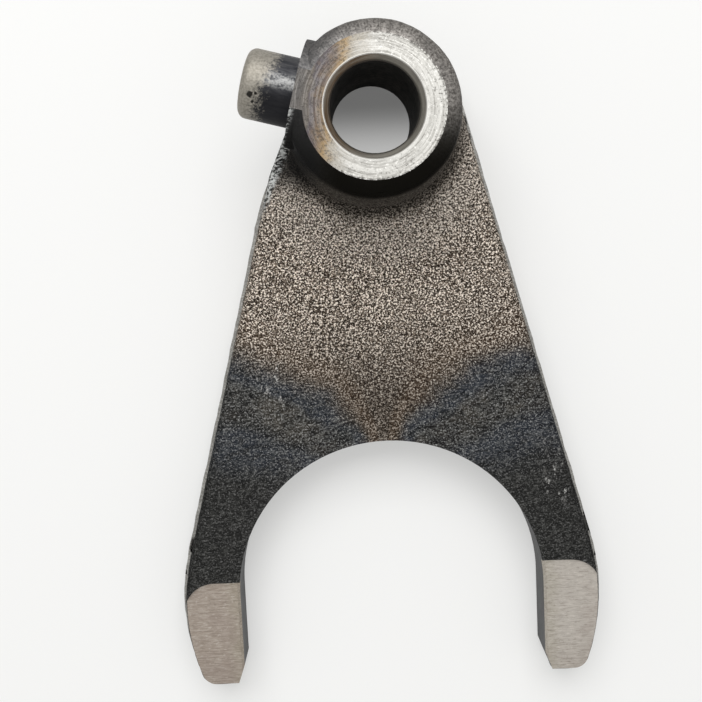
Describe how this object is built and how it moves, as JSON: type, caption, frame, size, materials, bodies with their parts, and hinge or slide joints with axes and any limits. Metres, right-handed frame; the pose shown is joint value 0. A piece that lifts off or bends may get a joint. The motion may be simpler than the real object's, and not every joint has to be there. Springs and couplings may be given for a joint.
{
  "type": "shift fork",
  "caption": "Forged gearbox shift fork with a bored boss, a side guide pin, a flared flat web and milled claws round a half-round mouth.",
  "frame": {"origin": "on the axis of the rail bore, in the plane of the boss's lower face and the claws' lower faces", "axes": "+Z along the rail bore to the boss's upper face, -Y from the boss along the web to the claws, +X across the web, away from the guide pin; right-handed"},
  "size_m": [0.055, 0.084, 0.022],
  "materials": {
    "forged_steel": "blasted and heat-tinted forging skin, dark brown to blue-black, with machined pale faces"
  },
  "bodies": {
    "root": {"shift_fork": "forged_steel"}
  },
  "joints": []
}
